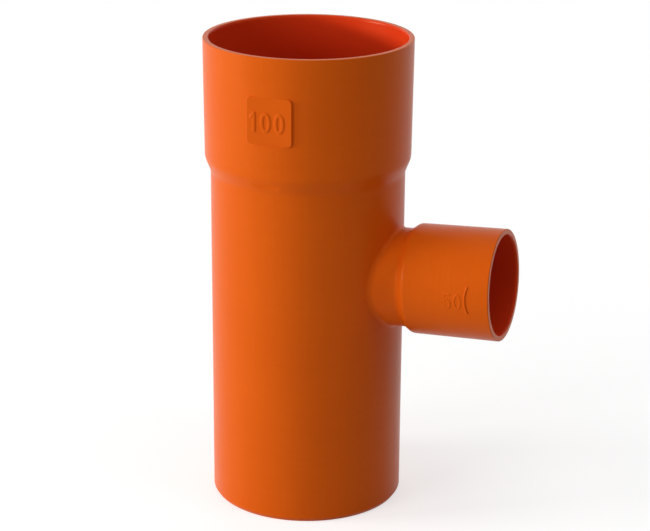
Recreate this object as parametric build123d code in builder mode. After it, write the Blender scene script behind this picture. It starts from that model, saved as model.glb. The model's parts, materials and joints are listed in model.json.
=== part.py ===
"""Reducing drain branch: a moulded PVC fitting for solvent-welded waste pipe, one solid.

The run is vertical, with a spigot at its lower end and a socket for a pipe of the
spigot's own size at its upper end. A smaller socket branches off towards +X and
rises a little, so that water runs down into the main pipe. Millimetres, +Z up,
origin in the middle of the spigot's end face.
"""
from build123d import *
import math
import os

# Pipes that the fitting joins
run_pipe_diameter = 100.0
branch_pipe_diameter = 50.0
socket_clearance = 0.2          # between a pipe and the socket round it, on the radius

# Run, from the spigot's end upwards
run_wall = 3.2
spigot_length = 62.0            # the true cylinder that enters the next socket
spigot_chamfer_height = 2.0
spigot_chamfer_width = 1.3
spigot_to_branch = 60.5         # from the top of that cylinder to the branch's axis
branch_to_shoulder = 54.9
body_draft = 0.12               # the body's radius grows by this much above the spigot
shoulder_rise = 7.3
shoulder_round = 8.0
stop_above_shoulder = 1.8       # the ledge that a pipe stops against, inside
run_socket_depth = 60.0
run_socket_wall_root = 2.85
run_socket_wall_mouth = 3.45

# Branch, outwards from the run's surface
branch_rise_angle = 2.5         # degrees above the horizontal
neck_length = 7.5
neck_wall = 3.25
branch_shoulder_length = 4.1
branch_shoulder_round = 3.0
branch_stop_width = 3.0
branch_stop_past_shoulder = 2.1
branch_socket_depth = 43.0
branch_socket_wall_root = 3.15
branch_socket_wall_mouth = 3.45

# Edges
lead_in_height = 1.5            # bevel inside each mouth that guides the pipe in
lead_in_width = 0.8
stop_bevel = 0.8                # takes the sharp edge off both stop ledges
rim_bevel = 0.4                 # outer edge of each mouth
junction_fillet = 2.0
bore_crossing_round = 1.5

# Radii and levels that follow from those
spigot_radius = run_pipe_diameter / 2
body_radius = spigot_radius + body_draft
run_bore_radius = spigot_radius - run_wall
run_socket_bore_radius = spigot_radius + socket_clearance
run_root_radius = run_socket_bore_radius + run_socket_wall_root
run_mouth_radius = run_socket_bore_radius + run_socket_wall_mouth

branch_height = spigot_length + spigot_to_branch
shoulder_height = branch_height + branch_to_shoulder
run_root_height = shoulder_height + shoulder_rise
run_stop_height = run_root_height + stop_above_shoulder
overall_height = run_stop_height + run_socket_depth

branch_socket_bore_radius = branch_pipe_diameter / 2 + socket_clearance
neck_bore_radius = branch_socket_bore_radius - branch_stop_width
neck_radius = neck_bore_radius + neck_wall
branch_root_radius = branch_socket_bore_radius + branch_socket_wall_root
branch_mouth_radius = branch_socket_bore_radius + branch_socket_wall_mouth

neck_end = spigot_radius + neck_length
branch_root = neck_end + branch_shoulder_length
branch_stop = branch_root + branch_stop_past_shoulder
branch_mouth = branch_stop + branch_socket_depth

# The branch's own plane: local X runs out along its axis, local Y is the radius
branch_angle = math.radians(branch_rise_angle)
branch_plane = Plane(
    origin=(0, 0, branch_height),
    x_dir=(math.cos(branch_angle), 0, math.sin(branch_angle)),
    z_dir=(0, -1, 0),
)
branch_axis = Axis(branch_plane.origin, branch_plane.x_dir)


with BuildPart() as drain_branch:
    # Outside of the run: bevelled spigot, body, shoulder and flared socket
    with BuildSketch(Plane.XZ):
        with BuildLine():
            run_outside = FilletPolyline(
                (0, 0),
                (spigot_radius - spigot_chamfer_width, 0),
                (spigot_radius, spigot_chamfer_height),
                (spigot_radius, spigot_length),
                (body_radius, shoulder_height),
                (run_root_radius, run_root_height),
                (run_mouth_radius, overall_height - rim_bevel),
                (run_mouth_radius - rim_bevel, overall_height),
                (0, overall_height),
                radius=[0, 0, 0, shoulder_round, shoulder_round, 0, 0],
            )
            Line(run_outside @ 1, run_outside @ 0)
        make_face()
    revolve(axis=Axis.Z)

    # Outside of the branch: plain neck, short shoulder and flared socket
    with BuildSketch(branch_plane):
        with BuildLine():
            branch_outside = FilletPolyline(
                (0, 0),
                (0, neck_radius),
                (neck_end, neck_radius),
                (branch_root, branch_root_radius),
                (branch_mouth - rim_bevel, branch_mouth_radius),
                (branch_mouth, branch_mouth_radius - rim_bevel),
                (branch_mouth, 0),
                radius=[0, branch_shoulder_round, branch_shoulder_round, 0, 0],
            )
            Line(branch_outside @ 1, branch_outside @ 0)
        make_face()
    revolve(axis=branch_axis)

    # The neck meets the body in a saddle curve, with a small fillet all round it
    saddle = drain_branch.edges(Select.NEW)
    fillet(saddle, radius=junction_fillet)

    # Inside of the run: waterway, stop ledge, socket and lead-in
    with BuildSketch(Plane.XZ):
        with BuildLine():
            Polyline(
                (0, 0),
                (run_bore_radius, 0),
                (run_bore_radius, run_stop_height - stop_bevel),
                (run_bore_radius + stop_bevel, run_stop_height),
                (run_socket_bore_radius, run_stop_height),
                (run_socket_bore_radius, overall_height - lead_in_height),
                (run_socket_bore_radius + lead_in_width, overall_height),
                (0, overall_height),
                close=True,
            )
        make_face()
    revolve(axis=Axis.Z, mode=Mode.SUBTRACT)

    # Inside of the branch, from the run's axis out to the mouth
    with BuildSketch(branch_plane):
        with BuildLine():
            Polyline(
                (0, 0),
                (0, neck_bore_radius),
                (branch_stop - stop_bevel, neck_bore_radius),
                (branch_stop, neck_bore_radius + stop_bevel),
                (branch_stop, branch_socket_bore_radius),
                (branch_mouth - lead_in_height, branch_socket_bore_radius),
                (branch_mouth, branch_socket_bore_radius + lead_in_width),
                (branch_mouth, 0),
                close=True,
            )
        make_face()
    revolve(axis=branch_axis, mode=Mode.SUBTRACT)

    # Where the two waterways cross, the edge is rounded so that nothing catches on it
    crossing = (
        drain_branch.edges(Select.NEW)
        .filter_by(GeomType.CIRCLE, reverse=True)
        .filter_by(GeomType.LINE, reverse=True)
    )
    fillet(crossing, radius=bore_crossing_round)

os.makedirs("parts", exist_ok=True)
drain_branch.part.label = "drain_branch"
export_step(drain_branch.part, "parts/drain_branch.step")
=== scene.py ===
"""Looks of the reducing drain branch: one moulded orange fitting on a plain studio floor.

Metres, +Z up the run, +X towards the branch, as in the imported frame. The fitting is
turned and fused again here at a finer grain than the CAD mesh, from the same sizes.
"""

import json
import math

import bmesh
import bpy
from mathutils import Matrix, Vector
from mathutils.bvhtree import BVHTree


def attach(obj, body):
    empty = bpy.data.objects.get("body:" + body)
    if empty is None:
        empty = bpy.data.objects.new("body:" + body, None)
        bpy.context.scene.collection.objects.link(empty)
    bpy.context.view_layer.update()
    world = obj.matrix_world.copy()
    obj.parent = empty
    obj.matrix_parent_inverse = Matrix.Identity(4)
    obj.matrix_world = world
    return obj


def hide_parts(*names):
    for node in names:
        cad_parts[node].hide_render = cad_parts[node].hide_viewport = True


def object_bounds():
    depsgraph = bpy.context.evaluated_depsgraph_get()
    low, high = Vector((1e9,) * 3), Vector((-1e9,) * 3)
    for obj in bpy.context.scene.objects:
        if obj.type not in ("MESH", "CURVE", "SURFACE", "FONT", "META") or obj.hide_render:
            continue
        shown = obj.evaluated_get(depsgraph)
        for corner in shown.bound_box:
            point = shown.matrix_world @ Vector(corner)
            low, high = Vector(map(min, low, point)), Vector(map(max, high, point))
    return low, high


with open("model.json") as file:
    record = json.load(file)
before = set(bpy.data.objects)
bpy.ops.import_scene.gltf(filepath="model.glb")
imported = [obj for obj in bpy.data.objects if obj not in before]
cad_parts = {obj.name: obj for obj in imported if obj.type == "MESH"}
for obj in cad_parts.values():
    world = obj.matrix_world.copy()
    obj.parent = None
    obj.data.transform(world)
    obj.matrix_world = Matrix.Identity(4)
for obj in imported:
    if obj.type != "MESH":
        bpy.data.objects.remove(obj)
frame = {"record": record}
cad_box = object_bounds()

MM = 0.001
CAD_NODE = "drain_branch"

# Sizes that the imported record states
mounts = {mount["name"]: mount for mount in frame["record"]["mounts"]}


def mount_radius(name):
    """The radius of a bore or a pin, in metres."""
    return mounts[name]["dims"]["r_mm"] * MM


SPIGOT_RADIUS = mount_radius("spigot")
RUN_SOCKET_BORE = mount_radius("run_socket")
BRANCH_SOCKET_BORE = mount_radius("branch_socket")
RUN_STOP = mounts["run_socket"]["pos_m"][2]
RUN_TOP = cad_box[1].z
BRANCH_AXIS = Vector(mounts["branch_socket"]["axis"]).normalized()
BRANCH_STOP_PLACE = Vector(mounts["branch_socket"]["pos_m"])
BRANCH_STOP = BRANCH_STOP_PLACE.x / BRANCH_AXIS.x
BRANCH_ORIGIN = BRANCH_STOP_PLACE - BRANCH_AXIS * BRANCH_STOP

# The branch's own frame: X up, Y to the front and Z out along its axis
BRANCH_FRAME = Matrix.Translation(BRANCH_ORIGIN) @ Matrix((
    (-BRANCH_AXIS.z, 0, BRANCH_AXIS.x, 0),
    (0, -1, 0, 0),
    (BRANCH_AXIS.x, 0, BRANCH_AXIS.z, 0),
    (0, 0, 0, 1),
))

# The moulding's own sizes, as its source has them
RUN_WALL = 3.2 * MM
SPIGOT_LENGTH = 62.0 * MM
SPIGOT_BEVEL = Vector((1.3 * MM, 2.0 * MM))
BODY_DRAFT = 0.12 * MM
SHOULDER = 177.4 * MM
SHOULDER_RISE = 7.3 * MM
RUN_SOCKET_WALL_ROOT = 2.85 * MM
RUN_SOCKET_WALL_MOUTH = 3.45 * MM
NECK_LENGTH = 7.5 * MM
NECK_WALL = 3.25 * MM
BRANCH_SHOULDER_LENGTH = 4.1 * MM
BRANCH_STOP_WIDTH = 3.0 * MM
BRANCH_SOCKET_DEPTH = 43.0 * MM
BRANCH_SOCKET_WALL_ROOT = 3.15 * MM
BRANCH_SOCKET_WALL_MOUTH = 3.45 * MM

# Levels on the run, distances along the branch, and radii, all of which follow from those
RUN_BORE = SPIGOT_RADIUS - RUN_WALL
BODY_RADIUS = SPIGOT_RADIUS + BODY_DRAFT
RUN_ROOT = SHOULDER + SHOULDER_RISE
RUN_ROOT_RADIUS = RUN_SOCKET_BORE + RUN_SOCKET_WALL_ROOT
RUN_MOUTH_RADIUS = RUN_SOCKET_BORE + RUN_SOCKET_WALL_MOUTH
NECK_BORE = BRANCH_SOCKET_BORE - BRANCH_STOP_WIDTH
NECK_RADIUS = NECK_BORE + NECK_WALL
NECK_END = SPIGOT_RADIUS + NECK_LENGTH
BRANCH_ROOT = NECK_END + BRANCH_SHOULDER_LENGTH
BRANCH_MOUTH = BRANCH_STOP + BRANCH_SOCKET_DEPTH
BRANCH_ROOT_RADIUS = BRANCH_SOCKET_BORE + BRANCH_SOCKET_WALL_ROOT
BRANCH_MOUTH_RADIUS = BRANCH_SOCKET_BORE + BRANCH_SOCKET_WALL_MOUTH

# Rounds and bevels; an ease is how far from a corner its round begins
SHOULDER_EASE = 1.55 * MM
NECK_EASE = 0.95 * MM
JUNCTION_FILLET = 2.0 * MM
CROSSING_ROUND = 1.5 * MM
STOP_ROUND = 0.8 * MM
STOP_ROOT_ROUND = 0.5 * MM
RIM_ROUND = 0.45 * MM
LEAD_IN = Vector((0.8 * MM, 1.5 * MM))
EDGE_BREAK = 0.2 * MM           # the small round of the spigot's bevel and of the three ends

# The end faces of the spigot and both sockets: a point of each, and a line square to it
UP = Vector((0, 0, 1))
END_FACES = [
    (Vector(), UP),
    (Vector((0, 0, RUN_TOP)), UP),
    (BRANCH_ORIGIN + BRANCH_AXIS * BRANCH_MOUTH, BRANCH_AXIS),
]

# How the surfaces are divided and joined
TURN_STEPS = 256
ROUND_STEPS = 5
EDGE_STEPS = 3
SHARP_ANGLE = math.radians(35)
QUARTER_TURN = math.radians(90)
WELD = 0.001 * MM               # points nearer than this are one point
ON_FACE = 0.01 * MM             # a point nearer than this to a face lies in it
REACH = 8.0 * MM                # how far a solid runs on past a face that it has to cross
FOOT_SINK = 0.01 * MM           # the junction fillet's foot lies this far under the skin

# The flat pad on the run's socket
PAD_SIZE = 24.0 * MM
PAD_HEIGHT = 214.6 * MM
PAD_CORNER = 2.2 * MM
PAD_CORNER_STEPS = 6
PAD_EDGE = 0.4 * MM
PAD_PROUD = -0.18 * MM          # of the wall, in the pad's middle
PAD_BED = 0.05 * MM             # the wall under the pad is cut this much lower
PAD_DEPTH = 2.5 * MM

# The plain sizes on both sockets: digit, its centre and how far it reaches across
RUN_DIGITS = [("1", -7.9 * MM, 1.6 * MM), ("0", -1.8 * MM, 2.0 * MM), ("0", 5.4 * MM, 1.9 * MM)]
RUN_DIGIT_LEVEL = 214.1 * MM
RUN_DIGIT_HEIGHT = 10.6 * MM
RUN_STROKE = 2.1 * MM
RUN_DIGIT_RISE = 0.46 * MM
BRANCH_DIGITS = [("5", -2.7 * MM, 1.6 * MM), ("0", 2.7 * MM, 1.6 * MM)]
BRANCH_DIGIT_PLACE = 88.0 * MM
BRANCH_DIGIT_UP = -1.0 * MM
BRANCH_DIGIT_HEIGHT = 8.4 * MM
BRANCH_STROKE = 1.2 * MM
BRANCH_DIGIT_RISE = 0.2 * MM
ARC_STEP = 15                   # degrees between the points of a digit's bends
STROKE_END_TURNS = (25, 50, 70, 85)     # degrees, where a stroke's round end has points
STROKE_STEPS = 3

# The curved rib beside the branch's number
RIB_PLACE = 94.5 * MM
RIB_LENGTH = 14.0 * MM
RIB_BOW = 1.4 * MM
RIB_WIDTH = 1.0 * MM
RIB_SIDES = 16
RIB_STEPS = 24

# The small flat in the shoulder under the pad, and how far it lies in front of the run's axis
SHOULDER_FLAT_WIDTH = 15.3 * MM
SHOULDER_FLAT_HEIGHT = 2.8 * MM
SHOULDER_FLAT_ACROSS = -3.0 * MM
SHOULDER_FLAT_OUT = 51.0 * MM
SHOULDER_FLAT_LEVEL = 180.6 * MM

# The plastic: its orange outside, a redder colour inside that paints the shade in the bores, its marks,
# and what it reflects
SKIN_DEEP = (0.70, 0.102, 0.0038, 1)
SKIN_PALE = (0.78, 0.122, 0.0055, 1)
# Inside, the same plastic in a redder colour: painted shade for the bores
CORE_PAINTED_SHADE_DEEP = (0.70, 0.042, 0.008, 1)
CORE_PAINTED_SHADE_PALE = (0.78, 0.054, 0.010, 1)
SKIN_MARKED = (0.82, 0.22, 0.05, 1)
MARK_STRENGTH = 0.35
SKIN_ROUGHNESS = (0.30, 0.38)
CORE_ROUGHNESS = (0.27, 0.30)
SCUFF_ROUGHNESS = 0.15          # more, where the skin is scuffed
PVC_IOR = 1.5
PVC_GLOSS = 0.25                # of the reflection that this IOR has head-on
PVC_GLOSS_TINT = (1.0, 0.8, 0.35, 1)

# Pigment clouds and the streaks drawn out up the run, and how much the streaks count
CLOUDS = {"Scale": 28.0, "Detail": 3.0, "Roughness": 0.5}
STREAKS = {"Scale": 90.0, "Detail": 1.0, "Roughness": 0.5}
STREAK_DRAW = (1.0, 1.0, 0.15)
STREAK_SHARE = 0.3
MOTTLE_RANGE = (0.3, 0.7)       # of the mottle, over which the roughness rises

# The mould's orange peel and fine grain, and the strength of both together
PEEL = {"Scale": 220.0, "Detail": 2.0, "Roughness": 0.4}
GRAIN = {"Scale": 1800.0, "Detail": 2.0, "Roughness": 0.6}
GRAIN_SHARE = 0.25
GRAIN_RELIEF = 0.02 * MM
SKIN_GRAIN = 0.25
CORE_GRAIN = 0.2

# The lines of turned inserts, the parting line and the scuffs at the spigot's end
BANDS = {"Scale": 420.0, "Detail": 3.0, "Roughness": 0.65}
LINE_RANGE = (0.52, 0.72)       # of the bands, whose crests are the lines
LINE_RELIEF = 0.035 * MM
PARTING_WIDTH = 0.18 * MM       # half of the line where the two mould halves met
PARTING_RISE = 2.0              # times the relief of the other lines
SCUFF_MARKS = {"Scale": 350.0, "Detail": 5.0}
SCUFF_HEIGHT = 6.0 * MM
SCUFF_START = 0.62              # how worn the very end is
SCUFF_RANGE = (0.2, 0.4)

# The floor turns from lit paper to plain white between two distances from the run's axis
WHITE = (1, 1, 1, 1)
BLACK = (0, 0, 0, 1)
FLOOR_REACH = 8.0
FLOOR_NEAR = 0.08
FLOOR_FAR = 0.45
FLOOR_LIFT = 0.62               # the glow of the near paper, where it is seen
FLOOR_PAPER = (0.6, 0.6, 0.6, 1)
FLOOR_ROUGHNESS = 0.9

# The even light of the world, and the place that every lamp looks at
WORLD_FILL = 0.18
LAMP_AIM = Vector((0, 0, 0.12))

# Soft white lamps: azimuth in degrees, distance from the run's axis and height, the lamp's
# own width and height, watts, and whether the plastic's gloss shows it
LAMPS = {
    "key_left": (-154, 1.6, 0.4, (0.55, 0.14), 15.4, True),
    "front_fill": (-121, 1.6, 0.6, (0.8, 0.6), 9.6, False),
    "right_fill": (-8, 0.95, 0.8, (0.5, 0.5), 1.35, False),
    "back_fill": (115, 0.95, 0.5, (0.6, 0.9), 1.45, False),
    "top_fill": (-60, 0.02, 1.4, (0.8, 0.8), 3.1, False),
}

# Where the camera stood, how it was turned in degrees, and its lens and film in millimetres
CAMERA_PLACE = (0.37491, -0.96369, 0.47715)
CAMERA_TURN = (71.1498, -0.392, 20.8879)
CAMERA_LENS = 115.557
CAMERA_FILM = 36


def as_object(bm, name):
    """Closes a bmesh into a new object of the scene."""
    mesh = bpy.data.meshes.new(name)
    bm.to_mesh(mesh)
    bm.free()
    made = bpy.data.objects.new(name, mesh)
    bpy.context.scene.collection.objects.link(made)
    return made


def evaluated_mesh(made):
    """A new mesh of an object, with its modifiers or its curve's thickness worked out."""
    bpy.context.view_layer.update()
    return bpy.data.meshes.new_from_object(made.evaluated_get(bpy.context.evaluated_depsgraph_get()))


def combined(body, tool, operation):
    """body after a Boolean with tool, which is used up."""
    boolean = body.modifiers.new(operation.lower(), "BOOLEAN")
    boolean.operation = operation
    boolean.object = tool
    boolean.solver = "EXACT"
    shaped = evaluated_mesh(body)
    body.modifiers.clear()
    body.data = shaped
    bpy.data.objects.remove(tool)
    return body


def weld(bm):
    """Joins the points that fell together, and dissolves what has no length or area then."""
    bmesh.ops.remove_doubles(bm, verts=bm.verts, dist=WELD)
    bmesh.ops.dissolve_degenerate(bm, edges=bm.edges, dist=WELD)


def rounded(bm, geom, size, steps, affect="EDGES"):
    """Rounds edges, or the corners of an outline."""
    bmesh.ops.bevel(bm, geom=geom, offset=size, offset_type="OFFSET", affect=affect, segments=steps,
                    profile=0.5, material=-1, clamp_overlap=False)


def turned(outline):
    """A solid turned round Z from (radius, height, ease) points, eased where ease is not 0."""
    bm = bmesh.new()
    verts = [bm.verts.new((radius, 0, height)) for radius, height, ease in outline]
    for pair in zip(verts, verts[1:]):
        bm.edges.new(pair)
    for vert, (radius, height, ease) in zip(verts, outline):
        if ease:
            rounded(bm, [vert], ease, ROUND_STEPS, affect="VERTICES")
    bmesh.ops.remove_doubles(bm, verts=bm.verts, dist=WELD)
    bmesh.ops.spin(bm, geom=bm.verts[:] + bm.edges[:], cent=(0, 0, 0), axis=UP,
                   angle=math.tau, steps=TURN_STEPS, use_merge=True)
    bmesh.ops.remove_doubles(bm, verts=bm.verts, dist=WELD)
    bmesh.ops.recalc_face_normals(bm, faces=bm.faces)
    return bm


def seat_root(branch, run):
    """Slides the rings of a branch's root along its axis, until they lie on the run's skin."""
    skin = BVHTree.FromBMesh(run)
    for vert in branch.verts:
        if vert.co.z < REACH:
            start = BRANCH_FRAME @ Vector((vert.co.x, vert.co.y, BRANCH_MOUTH))
            place = skin.ray_cast(start, -BRANCH_AXIS)[0]
            vert.co.z += (place - BRANCH_ORIGIN).dot(BRANCH_AXIS)


def branched_solid(name, run_outline, branch_outline):
    """A run and a branch, turned, seated on each other and fused."""
    run = turned(run_outline)
    branch = turned(branch_outline)
    seat_root(branch, run)
    branch.transform(BRANCH_FRAME)
    return combined(as_object(run, name), as_object(branch, name + "_side"), "UNION")


def root_outline(radius, fillet):
    """The foot of a branch, flared by a fillet that ends in the run's skin."""
    return [
        (0, -REACH, 0),
        (radius + fillet, -REACH, 0),
        (radius + fillet, -FOOT_SINK, 0),
        (radius, -FOOT_SINK, fillet),
    ]


def mouth_outline(bore, mouth):
    """The lead-in of a socket, which runs on past its mouth, and the way back to the axis."""
    lead_out = LEAD_IN * (REACH / LEAD_IN.y)
    start = mouth - LEAD_IN.y
    return [
        (bore, start, 0),
        (bore + lead_out.x, start + lead_out.y, 0),
        (0, start + lead_out.y, 0),
    ]


def facing_front(across, out, height, lean=0.0):
    """A place in front of the run's axis: X across, Y up the wall and Z out of it."""
    return Matrix.Translation((across, -out, height)) @ Matrix.Rotation(QUARTER_TURN + lean, 4, "X")


def on_run_socket(height, proud):
    """A place on the front of the run's socket, proud of its flared wall."""
    flare = RUN_MOUTH_RADIUS - RUN_ROOT_RADIUS
    rise = RUN_TOP - RUN_ROOT
    radius = RUN_ROOT_RADIUS + (height - RUN_ROOT) / rise * flare
    return facing_front(0, radius + proud, height, math.atan2(flare, rise))


def cutter(place, width, height):
    """A block that cuts a flat: its lower face is place's own XY plane."""
    bm = bmesh.new()
    bmesh.ops.create_cube(bm, size=1)
    bmesh.ops.scale(bm, vec=(width, height, REACH), verts=bm.verts)
    bmesh.ops.translate(bm, vec=(0, 0, REACH / 2), verts=bm.verts)
    bm.transform(place)
    return as_object(bm, "cutter")


def moulded_outside():
    """Everything that the two mould halves shape."""
    run = [
        (0, 0, 0),
        (SPIGOT_RADIUS - SPIGOT_BEVEL.x, 0, EDGE_BREAK),
        (SPIGOT_RADIUS, SPIGOT_BEVEL.y, EDGE_BREAK),
        (SPIGOT_RADIUS, SPIGOT_LENGTH, 0),
        (BODY_RADIUS, SHOULDER, SHOULDER_EASE),
        (RUN_ROOT_RADIUS, RUN_ROOT, SHOULDER_EASE),
        (RUN_MOUTH_RADIUS, RUN_TOP, RIM_ROUND),
        (0, RUN_TOP, 0),
    ]
    branch = root_outline(NECK_RADIUS, JUNCTION_FILLET) + [
        (NECK_RADIUS, NECK_END, NECK_EASE),
        (BRANCH_ROOT_RADIUS, BRANCH_ROOT, NECK_EASE),
        (BRANCH_MOUTH_RADIUS, BRANCH_MOUTH, RIM_ROUND),
        (0, BRANCH_MOUTH, 0),
    ]
    outside = branched_solid("moulded_fitting", run, branch)
    pad_bed = on_run_socket(PAD_HEIGHT, PAD_PROUD - PAD_BED)
    combined(outside, cutter(pad_bed, PAD_SIZE - PAD_BED, PAD_SIZE - PAD_BED), "DIFFERENCE")
    shoulder_flat = facing_front(SHOULDER_FLAT_ACROSS, SHOULDER_FLAT_OUT, SHOULDER_FLAT_LEVEL)
    combined(outside, cutter(shoulder_flat, SHOULDER_FLAT_WIDTH, SHOULDER_FLAT_HEIGHT), "DIFFERENCE")
    return outside


def cored_inside():
    """The room that the two mould cores leave: waterways, stop ledges, sockets and lead-ins."""
    run = [
        (0, -REACH, 0),
        (RUN_BORE, -REACH, 0),
        (RUN_BORE, RUN_STOP, STOP_ROUND),
        (RUN_SOCKET_BORE, RUN_STOP, STOP_ROOT_ROUND),
    ] + mouth_outline(RUN_SOCKET_BORE, RUN_TOP)
    branch = root_outline(NECK_BORE, CROSSING_ROUND) + [
        (NECK_BORE, BRANCH_STOP, STOP_ROUND),
        (BRANCH_SOCKET_BORE, BRANCH_STOP, STOP_ROOT_ROUND),
    ] + mouth_outline(BRANCH_SOCKET_BORE, BRANCH_MOUTH)
    return branched_solid("cored_inside", run, branch)


def in_an_end_face(edge):
    """Whether an edge lies in the end face of the spigot or of a socket."""
    return any(all(abs((vert.co - place).dot(way)) < ON_FACE for vert in edge.verts)
               for place, way in END_FACES)


def moulded_fitting(skin, core):
    """The whole fitting, with the edges of its three ends slightly rounded."""
    outside, inside = moulded_outside(), cored_inside()
    # The inside faces take the core material, whose redder colour is painted shade
    for index, solid in enumerate((outside, inside)):
        solid.data.materials.append(skin)
        solid.data.materials.append(core)
        solid.data.polygons.foreach_set("material_index", [index] * len(solid.data.polygons))
    fitting = combined(outside, inside, "DIFFERENCE")
    bm = bmesh.new()
    bm.from_mesh(fitting.data)
    weld(bm)
    sharp = [edge for edge in bm.edges if edge.calc_face_angle(0) > SHARP_ANGLE and in_an_end_face(edge)]
    rounded(bm, sharp, EDGE_BREAK, EDGE_STEPS)
    weld(bm)
    bm.to_mesh(fitting.data)
    bm.free()
    return fitting


def run_size_pad():
    """The flat square pad on the run's socket, with rounded corners."""
    bm = bmesh.new()
    bmesh.ops.create_cube(bm, size=1)
    bmesh.ops.scale(bm, vec=(PAD_SIZE, PAD_SIZE, PAD_DEPTH), verts=bm.verts)
    bmesh.ops.translate(bm, vec=(0, 0, -PAD_DEPTH / 2), verts=bm.verts)
    upright = [edge for edge in bm.edges if abs(edge.verts[0].co.z - edge.verts[1].co.z) > PAD_DEPTH / 2]
    rounded(bm, upright, PAD_CORNER, PAD_CORNER_STEPS)
    face_edges = [edge for edge in bm.edges if all(vert.co.z > -PAD_DEPTH / 2 for vert in edge.verts)]
    rounded(bm, face_edges, PAD_EDGE, EDGE_STEPS)
    bm.transform(on_run_socket(PAD_HEIGHT, PAD_PROUD))
    return bm


def rounded_stroke(curve, points, closed, width):
    """Adds one stroke to a curve; an open one tapers to round ends."""
    places = [Vector(point) for point in points]
    stations = [(place, 1.0) for place in places]
    if not closed:
        first = (places[0] - places[1]).normalized()
        last = (places[-1] - places[-2]).normalized()
        turns = [math.radians(turn) for turn in STROKE_END_TURNS]
        start = [(places[0] + first * width / 2 * math.sin(turn), math.cos(turn)) for turn in turns]
        end = [(places[-1] + last * width / 2 * math.sin(turn), math.cos(turn)) for turn in turns]
        stations = start[::-1] + stations + end
    spline = curve.splines.new("POLY")
    spline.points.add(len(stations) - 1)
    spline.use_cyclic_u = closed
    for point, (place, share) in zip(spline.points, stations):
        point.co = (place.x, place.y, 0, 1)
        point.radius = share


def arc(centre, across, up, start, end):
    """Points on an ellipse, from a start to an end angle in degrees."""
    steps = round(abs(end - start) / ARC_STEP)
    turns = [math.radians(start + (end - start) * step / steps) for step in range(steps + 1)]
    return [(centre[0] + across * math.cos(turn), centre[1] + up * math.sin(turn)) for turn in turns]


def digit_paths(digit):
    """The middle lines of a plain 0, 1 or 5, in a square from -1 to 1, and whether each closes."""
    if digit == "0":
        return [(arc((0, 0), 1, 1, 0, 360 - ARC_STEP), True)]
    if digit == "1":
        return [([(0, -1), (0, 1)], False), ([(-0.9, 0.55), (0, 1)], False)]
    bowl = arc((-0.1, -0.38), 1.1, 0.62, 125, -140)
    return [([(0.85, 1), (-0.8, 1), (-0.9, 0.05)] + bowl, False)]


def raised_digits(digits, height, width, rise):
    """Plain digits at (digit, centre, reach across) with round strokes, half above XY."""
    curve = bpy.data.curves.new("digits", "CURVE")
    curve.dimensions = "3D"
    curve.bevel_depth = width / 2
    curve.bevel_resolution = STROKE_STEPS
    curve.use_fill_caps = True
    up = (height - width) / 2
    for digit, centre, across in digits:
        for points, closed in digit_paths(digit):
            rounded_stroke(curve, [(centre + x * across, y * up, 0) for x, y in points], closed, width)
    strokes = bpy.data.objects.new("digits", curve)
    bpy.context.scene.collection.objects.link(strokes)
    bm = bmesh.new()
    bm.from_mesh(evaluated_mesh(strokes))
    bpy.data.objects.remove(strokes)
    bmesh.ops.remove_doubles(bm, verts=bm.verts, dist=WELD)
    bmesh.ops.scale(bm, vec=(1, 1, 2 * rise / width), verts=bm.verts)
    bmesh.ops.recalc_face_normals(bm, faces=bm.faces)
    return bm


def wrap_on_branch(bm, along, up):
    """Bends flat work, X along and Y up, round the front of the branch's socket."""
    for vert in bm.verts:
        height = along + vert.co.x
        share = (height - BRANCH_ROOT) / (BRANCH_MOUTH - BRANCH_ROOT)
        radius = BRANCH_ROOT_RADIUS + share * (BRANCH_MOUTH_RADIUS - BRANCH_ROOT_RADIUS) + vert.co.z
        turn = (vert.co.y + up) / radius
        vert.co = Vector((radius * math.sin(turn), radius * math.cos(turn), height))
    bm.transform(BRANCH_FRAME)


def run_size_number():
    """The raised size of the run, on its pad."""
    bm = raised_digits(RUN_DIGITS, RUN_DIGIT_HEIGHT, RUN_STROKE, RUN_DIGIT_RISE)
    bm.transform(on_run_socket(RUN_DIGIT_LEVEL, PAD_PROUD))
    return bm


def branch_size_number():
    """The raised size of the branch, on its socket's wall."""
    bm = raised_digits(BRANCH_DIGITS, BRANCH_DIGIT_HEIGHT, BRANCH_STROKE, BRANCH_DIGIT_RISE)
    wrap_on_branch(bm, BRANCH_DIGIT_PLACE, BRANCH_DIGIT_UP)
    return bm


def branch_mark_rib():
    """A thin round rib that bows towards the run, beside the branch's number."""
    bm = bmesh.new()
    radius = (RIB_LENGTH ** 2 / 4 + RIB_BOW ** 2) / (2 * RIB_BOW)
    sweep = 2 * math.asin(RIB_LENGTH / 2 / radius)
    centre = (radius, 0, 0)
    section = bmesh.ops.create_circle(bm, cap_ends=True, segments=RIB_SIDES, radius=RIB_WIDTH / 2)["verts"]
    upright = Matrix.Rotation(QUARTER_TURN, 3, "X")
    to_start = Matrix.Rotation(-sweep / 2, 3, "Z")
    bmesh.ops.rotate(bm, verts=section, cent=(0, 0, 0), matrix=upright)
    bmesh.ops.rotate(bm, verts=section, cent=centre, matrix=to_start)
    bmesh.ops.spin(bm, geom=bm.verts[:] + bm.edges[:] + bm.faces[:], cent=centre, axis=UP,
                   angle=sweep, steps=RIB_STEPS)
    bmesh.ops.recalc_face_normals(bm, faces=bm.faces)
    wrap_on_branch(bm, RIB_PLACE, 0)
    return bm


def smoothed(piece):
    """Shades a finished piece smoothly, its large faces leading the normals."""
    piece.data.polygons.foreach_set("use_smooth", [True] * len(piece.data.polygons))
    piece.data.set_sharp_from_angle(angle=SHARP_ANGLE)
    piece.modifiers.new("even shading", "WEIGHTED_NORMAL").keep_sharp = True
    return piece


def of_the_fitting(piece):
    """Rides the piece on the part's one body."""
    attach(piece, "root")


def feed(tree, fed, inputs):
    """Sets a node's inputs, each to a value or from another node's socket."""
    for name, value in inputs.items():
        if isinstance(value, bpy.types.NodeSocket):
            tree.links.new(value, fed.inputs[name])
        else:
            fed.inputs[name].default_value = value


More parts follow.
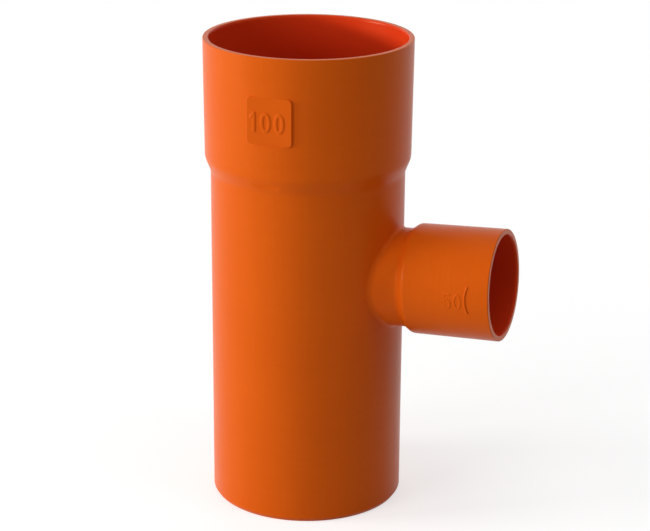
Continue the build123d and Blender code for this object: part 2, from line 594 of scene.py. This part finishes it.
def node(tree, kind, inputs=None, **settings):
    """A new node with its settings and inputs."""
    made = tree.nodes.new(kind)
    for name, value in settings.items():
        setattr(made, name, value)
    feed(tree, made, inputs or {})
    return made


def maths(tree, operation, *values):
    """What an operation makes of one to three values."""
    return node(tree, "ShaderNodeMath", dict(enumerate(values)), operation=operation).outputs["Value"]


def ranged(tree, value, start, end, low=0.0, high=1.0, curve="LINEAR"):
    """A value that goes from low to high, and no further, as another goes from start to end."""
    given = {"Value": value, "From Min": start, "From Max": end, "To Min": low, "To Max": high}
    return node(tree, "ShaderNodeMapRange", given, interpolation_type=curve).outputs["Result"]


def blended(tree, share, first, second, kind="RGBA"):
    """The first of two colours or values, or the second as the share goes to 1."""
    given = {"Factor": share, "A": first, "B": second}
    return node(tree, "ShaderNodeMix", given, data_type=kind).outputs["Result"]


def noise(tree, place, look):
    """A noise over a place, about 0 to 1."""
    return node(tree, "ShaderNodeTexNoise", {"Vector": place} | look).outputs["Fac"]


def effect(name, given, result):
    """An empty shader node group from one (name, kind) to another, and its two inner sockets."""
    tree = bpy.data.node_groups.new(name, "ShaderNodeTree")
    tree.interface.new_socket(given[0], in_out="INPUT", socket_type="NodeSocket" + given[1])
    tree.interface.new_socket(result[0], in_out="OUTPUT", socket_type="NodeSocket" + result[1])
    start = tree.nodes.new("NodeGroupInput").outputs[given[0]]
    end = tree.nodes.new("NodeGroupOutput").inputs[result[0]]
    return tree, start, end


def flow_mottle():
    """Faint clouds and flow streaks of the colourant in moulded PVC, 0 to 1."""
    tree, place, mask = effect("flow_mottle", ("Place", "Vector"), ("Mask", "Float"))
    drawn_out = node(tree, "ShaderNodeMapping", {"Vector": place, "Scale": STREAK_DRAW}).outputs["Vector"]
    clouds = noise(tree, place, CLOUDS)
    streaks = noise(tree, drawn_out, STREAKS)
    tree.links.new(blended(tree, STREAK_SHARE, clouds, streaks, "FLOAT"), mask)
    return tree


def moulded_grain():
    """The faint orange peel and fine grain that a steel mould leaves, as a height."""
    tree, place, height = effect("moulded_grain", ("Place", "Vector"), ("Height", "Float"))
    fine = maths(tree, "MULTIPLY", noise(tree, place, GRAIN), GRAIN_SHARE)
    tree.links.new(maths(tree, "ADD", noise(tree, place, PEEL), fine), height)
    return tree


def turned_lines():
    """Sparse faint lines round an axis, as turned mould inserts leave, as a height."""
    tree, along, height = effect("turned_lines", ("Along", "Float"), ("Height", "Float"))
    bands = node(tree, "ShaderNodeTexNoise", {"W": along} | BANDS, noise_dimensions="1D").outputs["Fac"]
    tree.links.new(ranged(tree, bands, *LINE_RANGE), height)
    return tree


EFFECTS = {"flow_mottle": flow_mottle(), "moulded_grain": moulded_grain(), "turned_lines": turned_lines()}


def placed(tree, name, **inputs):
    """What one of the effects puts out, placed in a material."""
    return node(tree, "ShaderNodeGroup", inputs, node_tree=EFFECTS[name]).outputs[0]


def new_material(name):
    """A material with a Principled shader, and the object's own coordinates."""
    material = bpy.data.materials.new(name)
    material.use_nodes = True
    tree = material.node_tree
    shader = tree.nodes["Principled BSDF"]
    place = node(tree, "ShaderNodeTexCoord").outputs["Object"]
    return material, tree, shader, place


def pigment_and_painted_shade(tree, place, deep, pale, roughness):
    """The mottled colour of the plastic, and a roughness that goes with it; outside the colours are the
    plastic's own, inside they are a redder pair that paints the shade in the bores.
    """
    mottle = placed(tree, "flow_mottle", Place=place)
    return blended(tree, mottle, deep, pale), ranged(tree, mottle, *MOTTLE_RANGE, *roughness)


def mould_finish(tree, place, strength):
    """A Bump node with the grain that the mould leaves."""
    grain = placed(tree, "moulded_grain", Place=place)
    return node(tree, "ShaderNodeBump", {"Height": grain, "Strength": strength, "Distance": GRAIN_RELIEF})


def make_plastic(tree, shader, colour, roughness, bump):
    """Gives a shader its colour, roughness and relief, and the plastic's gloss."""
    feed(tree, shader, {
        "Base Color": colour,
        "Roughness": roughness,
        "Normal": bump.outputs["Normal"],
        "IOR": PVC_IOR,
        "Specular IOR Level": PVC_GLOSS / 2,
        "Specular Tint": PVC_GLOSS_TINT,
    })


def pvc_skin():
    """The satin outside of the moulding, with its parting line and a scuffed spigot end."""
    material, tree, shader, place = new_material("orange_pvc_skin")
    axes = node(tree, "ShaderNodeSeparateXYZ", {"Vector": place}).outputs
    colour, roughness = pigment_and_painted_shade(tree, place, SKIN_DEEP, SKIN_PALE, SKIN_ROUGHNESS)

    parting = ranged(tree, maths(tree, "ABSOLUTE", axes["Y"]), 0.0, PARTING_WIDTH, 1.0, 0.0, "SMOOTHSTEP")
    near_end = ranged(tree, axes["Z"], 0.0, SCUFF_HEIGHT, SCUFF_START, 0.0)
    worn = maths(tree, "MULTIPLY", near_end, noise(tree, place, SCUFF_MARKS))
    scuffs = ranged(tree, worn, *SCUFF_RANGE)
    marks = maths(tree, "MULTIPLY", maths(tree, "MAXIMUM", scuffs, parting), MARK_STRENGTH)
    marked = blended(tree, marks, colour, SKIN_MARKED)
    scuffed = maths(tree, "MULTIPLY_ADD", scuffs, SCUFF_ROUGHNESS, roughness)

    on_branch = maths(tree, "GREATER_THAN", axes["X"], NECK_END)
    out = node(tree, "ShaderNodeVectorMath", {0: place, 1: BRANCH_AXIS}, operation="DOT_PRODUCT")
    along = blended(tree, on_branch, axes["Z"], out.outputs["Value"], "FLOAT")
    relief = maths(tree, "MULTIPLY_ADD", parting, PARTING_RISE, placed(tree, "turned_lines", Along=along))
    lines = node(tree, "ShaderNodeBump", {"Height": relief, "Strength": 1.0, "Distance": LINE_RELIEF})
    bump = mould_finish(tree, place, SKIN_GRAIN)
    tree.links.new(lines.outputs["Normal"], bump.inputs["Normal"])
    make_plastic(tree, shader, marked, scuffed, bump)
    return material


def pvc_core_painted_shade():
    """The smoother inside, which the cores leave, in a redder colour that paints the shade in the bores.
    """
    material, tree, shader, place = new_material("orange_pvc_core")
    # The redder inside colours are painted shade, not a different plastic
    colour, roughness = pigment_and_painted_shade(tree, place, CORE_PAINTED_SHADE_DEEP, CORE_PAINTED_SHADE_PALE, CORE_ROUGHNESS)
    make_plastic(tree, shader, colour, roughness, mould_finish(tree, place, CORE_GRAIN))
    return material


def seen_directly(tree):
    """1 for the rays that show a background: the camera's, and those in mirrors and glass."""
    rays = node(tree, "ShaderNodeLightPath").outputs
    shown = maths(tree, "MAXIMUM", rays["Is Camera Ray"], rays["Is Glossy Ray"])
    return maths(tree, "MAXIMUM", shown, rays["Is Transmission Ray"])


def floor_material():
    """Pale paper that keeps the fitting's shadow, and is plain white further off."""
    material, tree, shader, place = new_material("white_floor")
    seen = seen_directly(tree)
    distance = node(tree, "ShaderNodeVectorMath", {0: place}, operation="LENGTH").outputs["Value"]
    far = ranged(tree, distance, FLOOR_NEAR, FLOOR_FAR, curve="SMOOTHSTEP")
    glow = ranged(tree, far, 0.0, 1.0, FLOOR_LIFT, 1.0)
    feed(tree, shader, {
        "Base Color": blended(tree, maths(tree, "MULTIPLY", far, seen), FLOOR_PAPER, BLACK),
        "Roughness": FLOOR_ROUGHNESS,
        "Specular IOR Level": 0.0,
        "Emission Color": WHITE,
        "Emission Strength": maths(tree, "MULTIPLY", glow, seen),
    })
    return material


def studio_floor():
    """A flat sheet under the fitting."""
    bm = bmesh.new()
    bmesh.ops.create_grid(bm, x_segments=1, y_segments=1, size=FLOOR_REACH)
    sheet = as_object(bm, "studio_floor")
    sheet.data.materials.append(floor_material())


def white_world():
    """White to the camera and in reflections, and a low even fill for everything else."""
    world = bpy.data.worlds.new("white_studio")
    world.use_nodes = True
    tree = world.node_tree
    level = ranged(tree, seen_directly(tree), 0.0, 1.0, WORLD_FILL, 1.0)
    feed(tree, tree.nodes["Background"], {"Color": WHITE, "Strength": level})
    bpy.context.scene.world = world


def softbox(name, azimuth, distance, height, size, watts, in_gloss):
    """A rectangular soft white light that the camera doesn't see."""
    light = bpy.data.lights.new(name, "AREA")
    light.shape = "RECTANGLE"
    light.size, light.size_y = size
    light.energy = watts
    lamp = bpy.data.objects.new(name, light)
    turn = math.radians(azimuth)
    lamp.location = (distance * math.cos(turn), distance * math.sin(turn), height)
    lamp.rotation_euler = (LAMP_AIM - lamp.location).to_track_quat("-Z", "Y").to_euler()
    lamp.visible_camera = False
    lamp.visible_glossy = in_gloss
    bpy.context.scene.collection.objects.link(lamp)


def photo_camera():
    """The photograph's viewpoint, found from the fitting's outline."""
    data = bpy.data.cameras.new("photo_camera")
    data.sensor_width = CAMERA_FILM
    data.lens = CAMERA_LENS
    camera = bpy.data.objects.new("photo_camera", data)
    camera.location = CAMERA_PLACE
    camera.rotation_euler = [math.radians(turn) for turn in CAMERA_TURN]
    bpy.context.scene.collection.objects.link(camera)
    bpy.context.scene.camera = camera


plastic_skin = pvc_skin()
# The core material's redder colour is painted shade in the bores
fitting = smoothed(moulded_fitting(plastic_skin, pvc_core_painted_shade()))
of_the_fitting(fitting)
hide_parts(CAD_NODE)

for detail in (run_size_pad, run_size_number, branch_size_number, branch_mark_rib):
    piece = as_object(detail(), detail.__name__)
    piece.data.materials.append(plastic_skin)
    of_the_fitting(smoothed(piece))

studio_floor()
for lamp_name, lamp_look in LAMPS.items():
    softbox(lamp_name, *lamp_look)
white_world()
photo_camera()
bpy.context.scene.view_settings.view_transform = "Standard"
